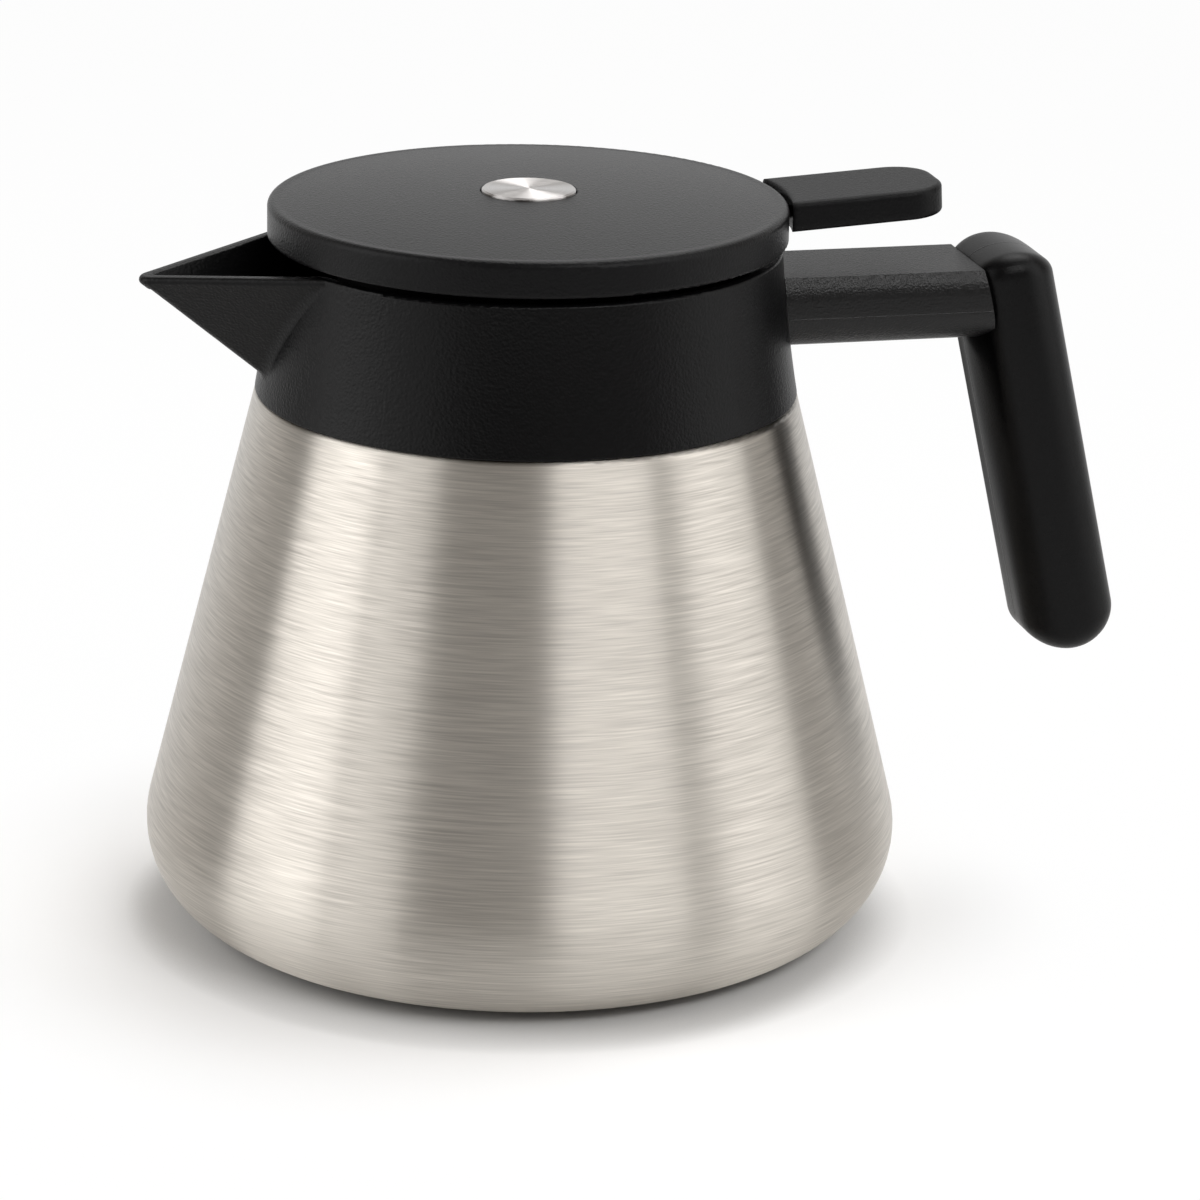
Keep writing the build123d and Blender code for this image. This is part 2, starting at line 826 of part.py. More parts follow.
def handle_arm():
    """Arm from the collar to the slanted seat in front of the grip."""
    arm = arm_bar(2 * grip_axis_reach)
    corners = arm.edges().filter_by(lambda edge: edge.bounding_box().min.Z > arm_top - tolerance)
    arm = fillet(corners.filter_by(Axis.X), arm_edge_rounding)
    arm &= before_seat(-arm_seam)
    arm -= collar_outside(arm_seam)
    for start, direction in arm_screw_places():
        arm -= rod(screw_radius + tight_fit, start, grip_axis_reach - rim_radius, direction)
    return arm - core_form(core_fit)


def grip_axis_point(distance):
    """Point on the grip's axis, at a distance down from the level of the arm's top."""
    lean = radians(grip_lean)
    return (grip_axis_reach + distance * sin(lean), 0, arm_top - distance * cos(lean))


def grip_frame(distance=0.0):
    """Frame on the grip's axis: its X runs along the jug's Y, its Y outwards and its Z down the grip."""
    lean = radians(grip_lean)
    return Plane(grip_axis_point(distance), x_dir=(0, 1, 0), z_dir=(sin(lean), 0, -cos(lean)))


def before_seat(forward=0.0):
    """Space on the arm's side of the slanted seat in the grip, which a value moves forward."""
    depth = 2 * grip_axis_reach
    front = Pos(0, -grip_seat_inset + forward - depth / 2, 0) * Box(depth, depth, depth)
    return grip_frame() * front


def grip_outline():
    """Side view of the grip's two domed ends, joined far outside its front and its back."""
    head = Pos(grip_axis_reach + grip_head_offset, arm_top + grip_head_rise - grip_head_radius)
    x, _, z = grip_axis_point(grip_length + grip_thickness / 2 - grip_end_radius)
    end = Pos(x, z) * Circle(grip_end_radius)
    return Plane.XZ * make_hull((head * Circle(grip_head_radius)).edges() + end.edges())


def on_dome_edge(edge, low, high):
    """Whether an edge lies round a domed end, between two heights."""
    box = edge.bounding_box()
    return box.min.Z > low and box.max.Z < high and box.size.Z < grip_head_radius


def grip_bar():
    """Leaning bar of rounded section, with domed ends whose edges are rounded."""
    above = Pos(0, 0, -grip_thickness) * RectangleRounded(grip_width, grip_thickness, grip_side_rounding)
    bar = grip_frame() * extrude(above, grip_length + 3 * grip_thickness)
    bar &= extrude(grip_outline(), grip_width, both=True)
    head_edges = bar.edges().filter_by(lambda edge: on_dome_edge(edge, arm_bottom, lid_apex))
    bar = fillet(head_edges, grip_head_rounding)
    end_top = grip_axis_point(grip_length - grip_end_radius)[2]
    end_edges = bar.edges().filter_by(lambda edge: on_dome_edge(edge, 0, end_top))
    return fillet(end_edges, grip_end_rounding)


def grip_form():
    """Grip with the room for the arm, and with its head cut back flush with the arm's end."""
    above_arm = block((0, 2 * grip_axis_reach), (-lid_radius, lid_radius), (arm_top, 2 * arm_top))
    room = arm_bar(2 * grip_axis_reach, arm_seam) + above_arm
    return grip_bar() - (room & before_seat())


def core_form(clearance=0.0):
    """Reinforcing bar through the arm, with a T head that the two grip halves close round."""
    start = core_root - clearance
    neck = grip_axis_reach - grip_seat_inset + clearance
    head = grip_axis_reach
    end = grip_axis_reach + core_head_length + clearance
    heights = (arm_middle - core_height / 2 - clearance, arm_middle + core_height / 2 + clearance)
    width = core_width / 2 + clearance
    neck_width = core_neck_width / 2 + clearance
    bar = block((start, neck), (-width, width), heights)
    bar += block((neck, head), (-neck_width, neck_width), heights)
    return bar + block((head - clearance, end), (-width, width), heights)


def handle_core():
    core = core_form()
    length = core_root - block_back + arm_screw_hole_reach
    for start, direction in arm_screw_places():
        core -= rod(screw_radius + tight_fit, start, length, direction)
    return core


def dowels(clearance=0.0):
    """Dowels across the grip, or the holes for them."""
    length = dowel_length + 2 * clearance
    points = [grip_axis_point(grip_length * share) for share in dowel_shares]
    return [rod(dowel_radius + clearance, (x, -length / 2, z), length, (0, 1, 0)) for x, _, z in points]


def grip_half(side):
    """One half of the grip, hollowed for the core's head and the dowels."""
    half_space = sorted((0, side * grip_width))
    keep = block((0, 2 * grip_axis_reach), half_space, (0, 2 * arm_top))
    half = grip_form() & keep
    return half - core_form(core_fit) - dowels(tight_fit)


def grip_dowels():
    return Compound(dowels())


nodes = {
    "outer_shell": outer_shell,
    "shell_neck": shell_neck,
    "inner_flask": inner_flask,
    "flask_floor": flask_floor,
    "base_plate": base_plate,
    "vacuum_seal": vacuum_seal,
    "base_pad": base_pad,
    "collar": collar,
    "collar_gasket": collar_gasket,
    "neck_ring": neck_ring,
    "hinge_rail": hinge_rail,
    "handle_arm": handle_arm,
    "handle_core": handle_core,
    "arm_screws": arm_screws,
    "grip_left": lambda: grip_half(1),
    "grip_right": lambda: grip_half(-1),
    "grip_dowels": grip_dowels,
    "hinge_block": hinge_block,
    "hinge_pin": hinge_pin,
    "torsion_spring": torsion_spring,
    "lid_cover": lid_cover,
    "lid_base": lid_base,
    "cover_screws": cover_screws,
    "thumb_lever": thumb_lever,
    "lever_screws": lever_screws,
    "inlay_disc": inlay_disc,
    "lid_bolt": lid_bolt,
    "stopper": stopper,
    "stopper_cap": stopper_cap,
    "stopper_foam": stopper_foam,
    "stopper_seal": stopper_seal,
}

os.makedirs("parts", exist_ok=True)
for name, make in nodes.items():
    export_step(make(), f"parts/{name}.step")
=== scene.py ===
import math

import bmesh
import bpy
from bpy.props import FloatProperty, FloatVectorProperty, PointerProperty
from mathutils import Matrix, Vector


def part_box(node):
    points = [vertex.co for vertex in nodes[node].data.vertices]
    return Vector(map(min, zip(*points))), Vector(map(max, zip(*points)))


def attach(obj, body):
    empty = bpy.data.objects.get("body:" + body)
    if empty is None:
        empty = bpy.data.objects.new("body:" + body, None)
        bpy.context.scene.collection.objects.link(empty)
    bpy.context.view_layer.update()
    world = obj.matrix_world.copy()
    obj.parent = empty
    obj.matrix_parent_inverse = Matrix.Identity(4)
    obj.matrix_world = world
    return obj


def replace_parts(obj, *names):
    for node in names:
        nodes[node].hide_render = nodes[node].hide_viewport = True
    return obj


bl_info = {
    "name": "Serving jug",
    "version": (1, 0, 0),
    "blender": (4, 5, 0),
    "location": "View3D > Sidebar > Jug",
    "description": "Finishes and detailed pieces for an insulated serving jug",
    "category": "Object",
}

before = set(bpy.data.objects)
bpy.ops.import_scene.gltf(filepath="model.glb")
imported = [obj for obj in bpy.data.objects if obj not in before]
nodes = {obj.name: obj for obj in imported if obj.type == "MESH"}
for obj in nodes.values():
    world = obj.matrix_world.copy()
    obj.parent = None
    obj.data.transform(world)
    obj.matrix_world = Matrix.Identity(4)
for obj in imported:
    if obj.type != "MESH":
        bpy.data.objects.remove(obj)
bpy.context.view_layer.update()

# The photograph's view: angles in degrees, place in metres, lens and sensor in millimetres
PHOTO_HEADING, PHOTO_PITCH, PHOTO_ROLL = 13.927, 17.787, 1.083
PHOTO_PLACE = (-0.2188, -0.9476, 0.3782)
PHOTO_LENS, PHOTO_SENSOR = 150.0, 36.0

# Soft lamps: azimuth in degrees from the camera's side, distance, height, size in metres, watts
LAMPS = {
    "lamp_left": (-77, 1.0, 0.5, (0.7, 1.1), 6.6),
    "lamp_left_edge": (-45, 1.2, 0.5, (0.45, 1.1), 2.4),
    "lamp_right": (35, 1.1, 0.9, (0.9, 0.25), 7.6),
    "lamp_side": (82, 1.0, 0.5, (0.7, 1.0), 4.1),
}
TOP_LAMP_PLACE, TOP_LAMP_SIZE, TOP_LAMP_POWER = (0.28, 0.3, 1.0), (0.8, 0.8), 1.7
TOP_LAMP_BEAM = math.radians(75)
LAMP_TARGET = (0, 0, 0.08)
WARM_ROOM = (1.0, 0.91, 0.82)

# The floor keeps the shadow up to the first distance from its centre, and whitens up to the second
SHADOW_CENTRE = (-0.012, -0.004, 0)
SHADOW_FADE = (0.072, 0.13)
FLOOR_WHITENESS = 0.97
# Within this reach of the jug painted contact shade darkens the floor's colour, down to this share of it
PAINTED_SHADE_REACH, PAINTED_SHADE_SHARE = 0.012, 0.55
FLOOR_HALF_WIDTH = 6.0

# Brushing runs round the Z axis, and this share of a turn spreads highlights across its lines
ACROSS_BRUSHING = 0.25
NOISE_RANGE = (0.3, 0.7)
# Range of Layer Weight's facing over which a plastic's gloss fades to its grazing gloss
GRAZING_FADE = (0.35, 0.7)
SEAM_HALF_WIDTH, SEAM_HEIGHT = 0.00022, 0.00012
# The mould line of the arm's side, as a share of its height below the top
ARM_SEAM_SHARE = 0.55

TOLERANCE = 1e-6
SMOOTH_BELOW = math.radians(30)
ARC_SEGMENTS = 12
# The grip's half is cut this far from its parting plane, and closed up onto the plane
PARTING_CUT = 0.0004


def length_property(name, description, value):
    """Length in metres that the user can set."""
    return FloatProperty(
        name=name,
        description=description,
        subtype="DISTANCE",
        unit="LENGTH",
        default=value,
        min=0,
        precision=5,
    )


def colour_property(name, description, value):
    """Colour that the user can set."""
    return FloatVectorProperty(
        name=name,
        description=description,
        subtype="COLOR",
        default=value,
        min=0,
        max=1,
    )


class JugSizes(bpy.types.PropertyGroup):
    arm_start: length_property(
        "Arm start", "Distance from the jug's axis at which the arm starts, in the collar's wall", 0.0503
    )
    arm_reach: length_property(
        "Arm reach", "Length of the arm before its end is cut to the grip's seat", 0.05
    )
    arm_height: length_property("Arm height", "Height of the arm's section", 0.0152)
    crease_half_width: length_property(
        "Crease half width", "Half width of the arm's flat top", 0.0113
    )
    arm_half_width: length_property(
        "Arm half width", "Half width of the arm at its fullest", 0.0129
    )
    arm_rounding: length_property("Arm rounding", "Rounding of the arm's lower edges", 0.0078)
    grip_axis: length_property(
        "Grip axis", "Distance of the grip's axis from the jug's, at the arm's top", 0.0983
    )
    seat_inset: length_property(
        "Seat inset", "Distance from the arm's end to the grip's axis", 0.00595
    )
    side_lean: FloatProperty(
        name="Side lean",
        description="Angle of the arm's side to the vertical just under its crease, in degrees",
        default=27.0,
        min=1,
        max=60,
    )
    grip_lean: FloatProperty(
        name="Grip lean",
        description="Angle of the grip to the vertical, in degrees",
        default=12.8,
        min=0,
        max=45,
    )


class JugFinishes(bpy.types.PropertyGroup):
    steel: colour_property("Steel", "Colour of the brushed steel body", (0.585, 0.552, 0.503))
    steel_roughness: FloatProperty(
        name="Steel roughness",
        description="Roughness of the brushed steel body",
        subtype="FACTOR",
        default=0.42,
        min=0,
        max=1,
    )
    inlay: colour_property("Inlay", "Colour of the metal disc in the lid", (0.52, 0.505, 0.495))
    black: colour_property(
        "Black plastic",
        "Colour of the grained plastic of the collar and the handle",
        (0.002, 0.002, 0.0022),
    )
    lid: colour_property(
        "Lid plastic", "Colour of the lid and its thumb lever", (0.003, 0.003, 0.0033)
    )


class JugStage(bpy.types.PropertyGroup):
    lamp: FloatProperty(
        name="Lamps",
        description="Brightness of the soft lamps",
        default=1.0,
        min=0,
        max=5,
    )
    world: FloatProperty(
        name="Surroundings",
        description="Brightness of the surroundings that light the jug",
        default=0.15,
        min=0,
        max=2,
    )
    floor: colour_property("Floor", "Colour of the floor", (0.93, 0.93, 0.93))


def feed(tree, node, inputs):
    """Sets a shader node's inputs, to values or to the sockets that they are linked to."""
    for key, value in inputs.items():
        if isinstance(value, bpy.types.NodeSocket):
            tree.links.new(value, node.inputs[key])
        else:
            node.inputs[key].default_value = value


def add(tree, kind, inputs=None, **settings):
    """Adds a shader node with its settings and inputs."""
    made = tree.nodes.new(kind)
    for key, value in settings.items():
        setattr(made, key, value)
    feed(tree, made, inputs or {})
    return made


def math_node(tree, operation, first, second=0.0):
    return add(tree, "ShaderNodeMath", {0: first, 1: second}, operation=operation).outputs[0]


def vector_math(tree, operation, first, second=(0, 0, 0), output="Vector"):
    """Vector operation, whose output is Value where it gives a number such as a length."""
    inputs = {0: first, 1: second}
    return add(tree, "ShaderNodeVectorMath", inputs, operation=operation).outputs[output]


def map_range(tree, value, source, target, kind="LINEAR"):
    """Maps a value from one range onto another, and holds it at the ends."""
    inputs = {
        "Value": value,
        "From Min": source[0],
        "From Max": source[1],
        "To Min": target[0],
        "To Max": target[1],
    }
    return add(tree, "ShaderNodeMapRange", inputs, interpolation_type=kind).outputs["Result"]


def spread(tree, value, low, high):
    """Maps a noise value onto a narrow range."""
    return map_range(tree, value, NOISE_RANGE, (low, high))


def colour_mix(tree, value, low, high):
    """Mixes two colours by a value from 0 to 1."""
    inputs = {0: value, 6: (*low, 1), 7: (*high, 1)}
    return add(tree, "ShaderNodeMix", inputs, data_type="RGBA").outputs[2]


def tint(colour, factor):
    return tuple(min(1.0, channel * factor) for channel in colour)


def noise(tree, place, scale, detail, **inputs):
    inputs = {"Vector": place, "Scale": scale, "Detail": detail, **inputs}
    return add(tree, "ShaderNodeTexNoise", inputs).outputs["Fac"]


def bumped(tree, height, **inputs):
    """Normal of a surface that a height raises."""
    return add(tree, "ShaderNodeBump", {"Height": height, **inputs}).outputs["Normal"]


def rounded_edges(tree, radius, samples):
    """Normal of a surface whose edges catch light as if rounded by a radius."""
    return add(tree, "ShaderNodeBevel", {"Radius": radius}, samples=samples).outputs["Normal"]


def blank_material(name):
    """New material with its tree, its shader and the object's own coordinates."""
    material = bpy.data.materials.new(name)
    material.use_nodes = True
    tree = material.node_tree
    shader = tree.nodes["Principled BSDF"]
    place = add(tree, "ShaderNodeTexCoord").outputs["Object"]
    return material, tree, shader, place


def from_the_axis(tree, place):
    """Level vector from the Z axis to a place, and its direction."""
    flat = vector_math(tree, "MULTIPLY", place, (1, 1, 0))
    return flat, vector_math(tree, "NORMALIZE", flat)


def brush_lines(tree, place, across, along, detail):
    """Noise drawn out round the Z axis: counts per metre up the surface, and per radian round it."""
    _, direction = from_the_axis(tree, place)
    around = vector_math(tree, "MULTIPLY", direction, (along, along, 0))
    upwards = vector_math(tree, "MULTIPLY", place, (0, 0, across))
    drawn = vector_math(tree, "ADD", around, upwards)
    return noise(tree, drawn, scale=1.0, detail=detail, Roughness=0.6)


def brushed_round_body(name, colour, roughness, anisotropy=1.0, edge=0.0):
    """Steel brushed in fine lines round the Z axis, with broader streaks among them."""
    material, tree, shader, place = blank_material(name)
    lines = brush_lines(tree, place, across=3300.0, along=5.0, detail=1.0)
    streaks = brush_lines(tree, place, across=1500.0, along=3.5, detail=2.0)
    most = math_node(tree, "MULTIPLY", lines, 0.75)
    rest = math_node(tree, "MULTIPLY", streaks, 0.25)
    brushing = math_node(tree, "ADD", most, rest)
    shade = spread(tree, brushing, 0.0, 1.0)
    relief = {"Strength": 0.12, "Distance": 0.00002}
    if edge:
        relief["Normal"] = rounded_edges(tree, edge, samples=4)
    feed(tree, shader, {
        "Base Color": colour_mix(tree, shade, tint(colour, 0.8), tint(colour, 1.11)),
        "Roughness": spread(tree, brushing, roughness + 0.03, roughness - 0.03),
        "Normal": bumped(tree, lines, **relief),
        "Metallic": 1.0,
        "Anisotropic": anisotropy,
        "Anisotropic Rotation": ACROSS_BRUSHING,
    })
    return material


def turned_disc(name, colour, roughness):
    """Metal turned in fine circles about the Z axis, which spread its highlights outwards."""
    material, tree, shader, place = blank_material(name)
    flat, direction = from_the_axis(tree, place)
    radius = vector_math(tree, "LENGTH", flat, output="Value")
    circles = math_node(tree, "MULTIPLY", radius, 3500.0)
    lift = add(tree, "ShaderNodeCombineXYZ", {"Z": circles}).outputs[0]
    turned = vector_math(tree, "ADD", lift, direction)
    lines = noise(tree, turned, scale=1.0, detail=1.0)
    shade = spread(tree, lines, 0.0, 1.0)
    feed(tree, shader, {
        "Base Color": colour_mix(tree, shade, tint(colour, 0.9), tint(colour, 1.1)),
        "Roughness": spread(tree, lines, roughness - 0.04, roughness + 0.04),
        "Metallic": 1.0,
        "Anisotropic": 0.97,
        "Anisotropic Rotation": ACROSS_BRUSHING,
    })
    return material


def seam_line(tree, place, seam, normal):
    """Normal with the fine raised line that a mould leaves at a place along an axis."""
    axis, level = seam
    along = vector_math(tree, "DOT_PRODUCT", place, axis, output="Value")
    away = math_node(tree, "ABSOLUTE", math_node(tree, "SUBTRACT", along, level))
    ridge = map_range(tree, away, (0.0, SEAM_HALF_WIDTH), (1.0, 0.0), "SMOOTHSTEP")
    return bumped(tree, ridge, Distance=SEAM_HEIGHT, Normal=normal)


def grained_plastic(
    name, colour, grain, depth, roughness, gloss=0.14, grazing=None, edge=0.0, seam=None
):
    """Moulded plastic with a leathery grain of a given size and depth in metres.

    The gloss fades to another at grazing angles, if one is given. The edges catch light as if
    rounded by the edge size. A seam is an axis and the place along it of the mould's line.
    """
    material, tree, shader, place = blank_material(name)
    blotches = {"Vector": place, "Scale": 0.4 / grain, "Detail": 2.0}
    warp = add(tree, "ShaderNodeTexNoise", blotches).outputs
    shift = vector_math(tree, "MULTIPLY", warp["Color"], (grain, grain, grain))
    pebbles = {"Vector": vector_math(tree, "ADD", place, shift), "Scale": 1 / grain}
    cells = add(tree, "ShaderNodeTexVoronoi", pebbles, feature="SMOOTH_F1").outputs["Distance"]
    fine = noise(tree, place, scale=3 / grain, detail=3.0)
    height = math_node(tree, "ADD", cells, math_node(tree, "MULTIPLY", fine, 0.35))
    relief = {"Strength": 0.5, "Distance": depth}
    if edge:
        relief["Normal"] = rounded_edges(tree, edge, samples=6)
    normal = bumped(tree, height, **relief)
    if seam:
        normal = seam_line(tree, place, seam, normal)
    if grazing is not None:
        facing = add(tree, "ShaderNodeLayerWeight", {"Blend": 0.5}).outputs["Facing"]
        gloss = map_range(tree, facing, GRAZING_FADE, (gloss, grazing))
    feed(tree, shader, {
        "Base Color": colour_mix(tree, warp["Fac"], tint(colour, 0.8), tint(colour, 1.25)),
        "Roughness": spread(tree, fine, roughness - 0.04, roughness + 0.05),
        "Normal": normal,
        "Specular IOR Level": gloss,
    })
    return material


def plain_metal(name, colour, roughness):
    """Bright hardware metal with slight rolling marks."""
    material, tree, shader, place = blank_material(name)
    marks = noise(tree, place, scale=900.0, detail=4.0)
    feed(tree, shader, {
        "Base Color": colour_mix(tree, marks, tint(colour, 0.85), tint(colour, 1.12)),
        "Roughness": spread(tree, marks, roughness - 0.06, roughness + 0.08),
        "Metallic": 1.0,
    })
    return material


def soft_rubber(name, colour, roughness):
    """Moulded silicone or foam with a faint mottle."""
    material, tree, shader, place = blank_material(name)
    mottle = noise(tree, place, scale=350.0, detail=5.0)
    feed(tree, shader, {
        "Base Color": colour_mix(tree, mottle, tint(colour, 0.85), tint(colour, 1.15)),
        "Roughness": spread(tree, mottle, roughness - 0.05, roughness + 0.05),
        "Normal": bumped(tree, mottle, Strength=0.2, Distance=0.0001),
    })
    return material


def dress(names, material):
    """Gives CAD nodes a material."""
    for name in names:
        slots = nodes[name].data.materials
        slots.clear()
        slots.append(material)


def new_piece(name, shape, material, body):
    """Object from a finished bmesh, smooth-shaded except at sharp edges, riding on a body."""
    bmesh.ops.recalc_face_normals(shape, faces=shape.faces)
    mesh = bpy.data.meshes.new(name)
    shape.to_mesh(mesh)
    shape.free()
    mesh.shade_smooth()
    mesh.set_sharp_from_angle(angle=SMOOTH_BELOW)
    mesh.materials.append(material)
    piece = bpy.data.objects.new(name, mesh)
    bpy.context.scene.collection.objects.link(piece)
    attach(piece, body)
    return piece


def everything(shape):
    return shape.verts[:] + shape.edges[:] + shape.faces[:]


class JUG_OT_steel_body(bpy.types.Operator):
    """Finishes the steel shell, the flask and the base"""

    bl_idname = "jug.steel_body"
    bl_label = "Steel body"

    def execute(self, context):
        finishes = context.scene.jug_finishes
        steel = tuple(finishes.steel)
        outside = brushed_round_body(
            "steel_brushed_round", steel, finishes.steel_roughness, edge=0.0007
        )
        inside = brushed_round_body("steel_drawn_flask", tint(steel, 1.1), 0.36, anisotropy=0.8)
        dress(["outer_shell"], outside)
        dress(["shell_neck", "inner_flask", "flask_floor", "base_plate"], inside)
        dress(["base_pad"], soft_rubber("silicone_base", (0.05, 0.05, 0.053), 0.65))
        dress(["vacuum_seal"], plain_metal("seal_metal", (0.45, 0.45, 0.44), 0.5))
        return {"FINISHED"}


class JUG_OT_collar(bpy.types.Operator):
    """Finishes the collar with its spout, what clamps it to the flask, and the lid's hinge"""

    bl_idname = "jug.collar"
    bl_label = "Collar and spout"

    def execute(self, context):
        black = tuple(context.scene.jug_finishes.black)
        outside = grained_plastic(
            "plastic_grained_collar", black, grain=0.00055, depth=0.00016,
            roughness=0.32, gloss=0.13, grazing=0.06, seam=((0, 1, 0), 0.0),
        )
        inside = grained_plastic(
            "plastic_inner_parts", tint(black, 1.2), grain=0.0005, depth=0.00003, roughness=0.4
        )
        dress(["collar"], outside)
        dress(["neck_ring", "hinge_rail", "hinge_block"], inside)
        dress(["collar_gasket"], soft_rubber("silicone_gasket", (0.06, 0.06, 0.062), 0.6))
        dress(["hinge_pin", "torsion_spring"], plain_metal("hinge_metal", (0.55, 0.55, 0.56), 0.3))
        return {"FINISHED"}


def moulded_arm(sizes, top, material):
    """Arm with a flat top, a crease along each top edge and full sides that round in underneath."""
    shape = bmesh.new()
    overhang = sizes.arm_half_width - sizes.crease_half_width
    shoulder = top - overhang / math.tan(math.radians(sizes.side_lean))
    half_section = (
        (sizes.crease_half_width, top),
        (sizes.arm_half_width, shoulder),
        (sizes.arm_half_width, top - sizes.arm_height),
    )
    corners = [shape.verts.new((sizes.arm_start, y, z)) for y, z in half_section]
    corners += [shape.verts.new((sizes.arm_start, -y, z)) for y, z in reversed(half_section)]
    shape.faces.new(corners)
    run = bmesh.ops.extrude_face_region(shape, geom=shape.faces[:])
    far_end = [item for item in run["geom"] if isinstance(item, bmesh.types.BMVert)]
    bmesh.ops.translate(shape, verts=far_end, vec=(sizes.arm_reach, 0, 0))

    along = []
    for edge in shape.edges:
        near, far = (vert.co.x for vert in edge.verts)
        if abs(far - near) > sizes.arm_reach / 2:
            along.append(edge)
    shoulders = [edge for edge in along if abs(edge.verts[0].co.z - shoulder) < TOLERANCE]
    lower = [edge for edge in along if edge.verts[0].co.z < shoulder - TOLERANCE]
    shoulder_rounding = math.hypot(overhang, top - shoulder) / 2
    for edges, rounding in ((lower, sizes.arm_rounding), (shoulders, shoulder_rounding)):
        bmesh.ops.bevel(
            shape, geom=edges, offset=rounding, offset_type="OFFSET", segments=ARC_SEGMENTS,
            profile=0.5, affect="EDGES", material=-1,
        )

    lean = math.radians(sizes.grip_lean)
    outwards = Vector((math.cos(lean), 0, math.sin(lean)))
    seat = Vector((sizes.grip_axis, 0, top)) - outwards * sizes.seat_inset
    bmesh.ops.bisect_plane(
        shape, geom=everything(shape), plane_co=seat, plane_no=outwards, clear_outer=True
    )
    bmesh.ops.holes_fill(shape, edges=[edge for edge in shape.edges if edge.is_boundary])
    return new_piece("handle_arm_moulding", shape, material, "jug")


def closed_grip(material):
    """The grip's halves as one moulding: the left one, closed up over the gap and mirrored."""
    shape = bmesh.new()
    shape.from_mesh(nodes["grip_left"].data)
    bmesh.ops.remove_doubles(shape, verts=shape.verts, dist=TOLERANCE)
    side = math.copysign(1, sum(vert.co.y for vert in shape.verts))
    bmesh.ops.bisect_plane(
        shape, geom=everything(shape), plane_co=(0, side * PARTING_CUT, 0),
        plane_no=(0, side, 0), clear_inner=True,
    )
    for vert in shape.verts:
        if abs(vert.co.y) < 1.025 * PARTING_CUT:
            vert.co.y = 0
    bmesh.ops.mirror(shape, geom=everything(shape), axis="Y", merge_dist=TOLERANCE)
    return new_piece("grip_moulding", shape, material, "jug")


class JUG_OT_handle(bpy.types.Operator):
    """Makes the arm and the upright grip, and finishes what holds them together"""

    bl_idname = "jug.handle"
    bl_label = "Handle"

    def execute(self, context):
        black = tuple(context.scene.jug_finishes.black)
        sizes = context.scene.jug_sizes
        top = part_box("handle_arm")[1].z
        arm_finish = grained_plastic(
            "plastic_grained_arm", black, grain=0.0004, depth=0.00018, roughness=0.33,
            gloss=0.27, grazing=0.08, seam=((0, 0, 1), top - ARM_SEAM_SHARE * sizes.arm_height),
        )
        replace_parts(moulded_arm(sizes, top, arm_finish), "handle_arm")
        grip_finish = grained_plastic(
            "plastic_satin_grip", black, grain=0.0005, depth=0.00003, roughness=0.3,
            gloss=0.12, grazing=0.07, edge=0.003, seam=((0, 1, 0), 0.0),
        )
        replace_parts(closed_grip(grip_finish), "grip_left", "grip_right")
        fixings = plain_metal("handle_metal", (0.5, 0.5, 0.51), 0.35)
        dress(["handle_core", "arm_screws", "grip_dowels"], fixings)
        return {"FINISHED"}


class JUG_OT_lid(bpy.types.Operator):
    """Finishes the lid, its thumb lever and the stopper"""

    bl_idname = "jug.lid"
    bl_label = "Lid"

    def execute(self, context):
        finishes = context.scene.jug_finishes
        colour = tuple(finishes.lid)
        cover = grained_plastic(
            "plastic_grained_lid", colour, grain=0.00045, depth=0.00015, roughness=0.35,
            gloss=0.12, edge=0.0008,
        )
        lever = grained_plastic(
            "plastic_grained_lever", colour, grain=0.00045, depth=0.0001, roughness=0.33,
            gloss=0.1, grazing=0.042, edge=0.0015,
        )
        below = grained_plastic(
            "plastic_stopper", tint(finishes.black, 1.1), grain=0.0005, depth=0.00002,
            roughness=0.38,
        )
        dress(["lid_cover"], cover)
        dress(["thumb_lever"], lever)
        dress(["inlay_disc"], turned_disc("inlay_turned_metal", tuple(finishes.inlay), 0.42))
        dress(["lid_base", "stopper", "stopper_cap"], below)
        dress(["stopper_seal"], soft_rubber("silicone_clear_seal", (0.7, 0.71, 0.71), 0.5))
        dress(["stopper_foam"], soft_rubber("stopper_insulation", (0.85, 0.83, 0.74), 0.85))
        fixings = plain_metal("screw_metal", (0.58, 0.58, 0.59), 0.3)
        dress(["cover_screws", "lever_screws", "lid_bolt"], fixings)
        return {"FINISHED"}


def area_lamp(name, place, size, power, beam=math.pi):
    """Soft rectangular lamp that faces the jug."""
    data = bpy.data.lights.new(name, "AREA")
    data.shape = "RECTANGLE"
    data.size, data.size_y = size
    data.energy = power
    data.spread = beam
    lamp = bpy.data.objects.new(name, data)
    lamp.location = place
    lamp.rotation_mode = "QUATERNION"
    lamp.rotation_quaternion = (Vector(LAMP_TARGET) - Vector(place)).to_track_quat("-Z", "Y")
    bpy.context.scene.collection.objects.link(lamp)


def round_place(azimuth, distance, height):
    """Place at an azimuth round the jug, from the side that faces the camera, towards +X."""
    angle = math.radians(azimuth - PHOTO_HEADING)
    return (distance * math.sin(angle), -distance * math.cos(angle), height)


def backdrop_share(tree, place, start, end):
    """Share from 0 to 1 that grows with the distance behind the jug, as the photograph sees it."""
    heading = math.radians(PHOTO_HEADING)
    backwards = (math.sin(heading), math.cos(heading), 0)
    behind = vector_math(tree, "DOT_PRODUCT", place, backwards, output="Value")
    return map_range(tree, behind, (start, end), (0.0, 1.0), "SMOOTHSTEP")


def seen_ray(tree, in_reflections):
    """1 for camera rays, and the given share for rays in reflections and through glass."""
    path = add(tree, "ShaderNodeLightPath").outputs
    mirrored = math_node(tree, "MAXIMUM", path["Is Glossy Ray"], path["Is Transmission Ray"])
    reflected = math_node(tree, "MULTIPLY", mirrored, in_reflections)
    return math_node(tree, "MAXIMUM", path["Is Camera Ray"], reflected)


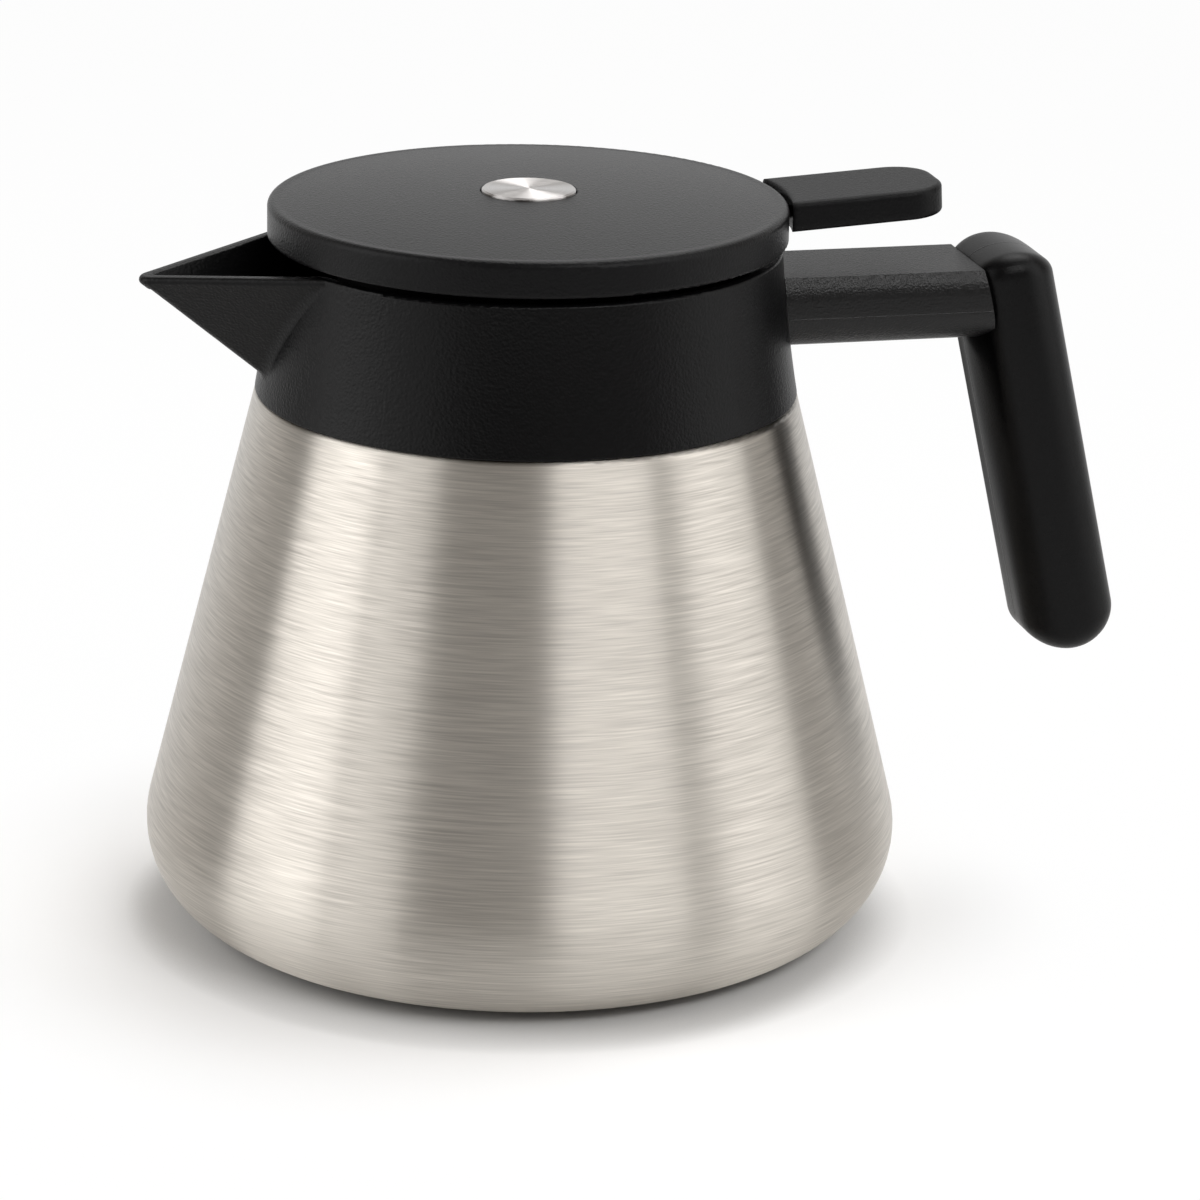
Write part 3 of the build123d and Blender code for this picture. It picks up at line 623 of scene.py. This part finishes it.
def pale_floor_material(colour):
    """Floor that keeps the shadow near the jug, with painted contact shade in its colour that is darkest
    close to it, and is white further out.
    """
    material, tree, shader, place = blank_material("floor_pale")
    mottle = spread(tree, noise(tree, place, scale=3.0, detail=3.0), 0.97, 1.0)
    # Ambient occlusion darkens the floor's colour near the jug: painted contact shade, mixed with the
    # floor's random mottle
    painted_shade_range = {"Distance": PAINTED_SHADE_REACH}
    painted_contact_shade = add(tree, "ShaderNodeAmbientOcclusion", painted_shade_range, samples=6).outputs["AO"]
    mottle_and_painted_shade = math_node(tree, "MULTIPLY", painted_contact_shade, mottle)
    feed(tree, shader, {
        "Base Color": colour_mix(tree, mottle_and_painted_shade, tint(colour, PAINTED_SHADE_SHARE), colour),
        "Roughness": 0.9,
        "Specular IOR Level": 0.0,
    })
    distance = vector_math(tree, "DISTANCE", place, SHADOW_CENTRE, output="Value")
    whitening = map_range(tree, distance, SHADOW_FADE, (0.0, FLOOR_WHITENESS), "SMOOTHSTEP")
    seen = seen_ray(tree, backdrop_share(tree, place, start=0.1, end=0.6))
    share = math_node(tree, "MULTIPLY", seen, whitening)
    glow = add(tree, "ShaderNodeEmission", {"Color": (1, 1, 1, 1), "Strength": 1.0})
    mixed = add(tree, "ShaderNodeMixShader", {0: share, 1: shader.outputs[0], 2: glow.outputs[0]})
    feed(tree, tree.nodes["Material Output"], {"Surface": mixed.outputs[0]})
    return material


def studio_world(strength):
    """Dim warm room with a white backdrop behind the jug, which the camera sees all round."""
    world = bpy.data.worlds.new("studio")
    bpy.context.scene.world = world
    world.use_nodes = True
    tree = world.node_tree
    direction = add(tree, "ShaderNodeTexCoord").outputs["Generated"]
    seen = seen_ray(tree, backdrop_share(tree, direction, start=0.2, end=0.95))
    feed(tree, tree.nodes["Background"], {
        "Color": colour_mix(tree, seen, WARM_ROOM, (1, 1, 1)),
        "Strength": map_range(tree, seen, (0.0, 1.0), (strength, 1.0)),
    })


def photo_camera():
    """Camera at the photograph's viewing angle, slightly rolled, with a long lens."""
    heading = math.radians(PHOTO_HEADING)
    pitch = math.radians(PHOTO_PITCH)
    roll = math.radians(PHOTO_ROLL)
    level = math.cos(pitch)
    ahead = Vector((math.sin(heading) * level, math.cos(heading) * level, -math.sin(pitch)))
    level_right = Vector((math.cos(heading), -math.sin(heading), 0))
    level_up = level_right.cross(ahead)
    right = level_right * math.cos(roll) + level_up * math.sin(roll)
    up = level_up * math.cos(roll) - level_right * math.sin(roll)
    data = bpy.data.cameras.new("camera")
    data.lens = PHOTO_LENS
    data.sensor_width = PHOTO_SENSOR
    camera = bpy.data.objects.new("camera", data)
    axes = Matrix((right, up, -ahead)).transposed().to_4x4()
    camera.matrix_world = Matrix.Translation(PHOTO_PLACE) @ axes
    bpy.context.scene.collection.objects.link(camera)
    bpy.context.scene.camera = camera


class JUG_OT_stage(bpy.types.Operator):
    """Makes the floor, the room, the soft lamps and the camera"""

    bl_idname = "jug.stage"
    bl_label = "Stage"

    def execute(self, context):
        look = context.scene.jug_stage
        mesh = bpy.data.meshes.new("floor")
        shape = bmesh.new()
        bmesh.ops.create_grid(shape, x_segments=4, y_segments=4, size=FLOOR_HALF_WIDTH)
        shape.to_mesh(mesh)
        shape.free()
        mesh.materials.append(pale_floor_material(tuple(look.floor)))
        floor = bpy.data.objects.new("floor", mesh)
        context.scene.collection.objects.link(floor)
        studio_world(look.world)
        for name, (azimuth, distance, height, size, power) in LAMPS.items():
            area_lamp(name, round_place(azimuth, distance, height), size, power * look.lamp)
        top_power = TOP_LAMP_POWER * look.lamp
        area_lamp("lamp_top", TOP_LAMP_PLACE, TOP_LAMP_SIZE, top_power, TOP_LAMP_BEAM)
        photo_camera()
        context.scene.view_settings.view_transform = "Standard"
        return {"FINISHED"}


class JUG_PT_panel(bpy.types.Panel):
    bl_idname = "JUG_PT_panel"
    bl_label = "Serving jug"
    bl_space_type = "VIEW_3D"
    bl_region_type = "UI"
    bl_category = "Jug"

    def draw(self, context):
        layout = self.layout
        scene = context.scene
        for group in (scene.jug_sizes, scene.jug_finishes, scene.jug_stage):
            for name in group.__annotations__:
                layout.prop(group, name)
        for operator in operators:
            layout.operator(operator.bl_idname)


operators = (JUG_OT_steel_body, JUG_OT_collar, JUG_OT_handle, JUG_OT_lid, JUG_OT_stage)
classes = (JugSizes, JugFinishes, JugStage, *operators, JUG_PT_panel)


def register():
    for item in classes:
        bpy.utils.register_class(item)
    bpy.types.Scene.jug_sizes = PointerProperty(type=JugSizes)
    bpy.types.Scene.jug_finishes = PointerProperty(type=JugFinishes)
    bpy.types.Scene.jug_stage = PointerProperty(type=JugStage)


def unregister():
    del bpy.types.Scene.jug_stage
    del bpy.types.Scene.jug_finishes
    del bpy.types.Scene.jug_sizes
    for item in reversed(classes):
        bpy.utils.unregister_class(item)


def main():
    register()
    bpy.ops.jug.steel_body()
    bpy.ops.jug.collar()
    bpy.ops.jug.handle()
    bpy.ops.jug.lid()
    bpy.ops.jug.stage()


if __name__ == "__main__":
    main()
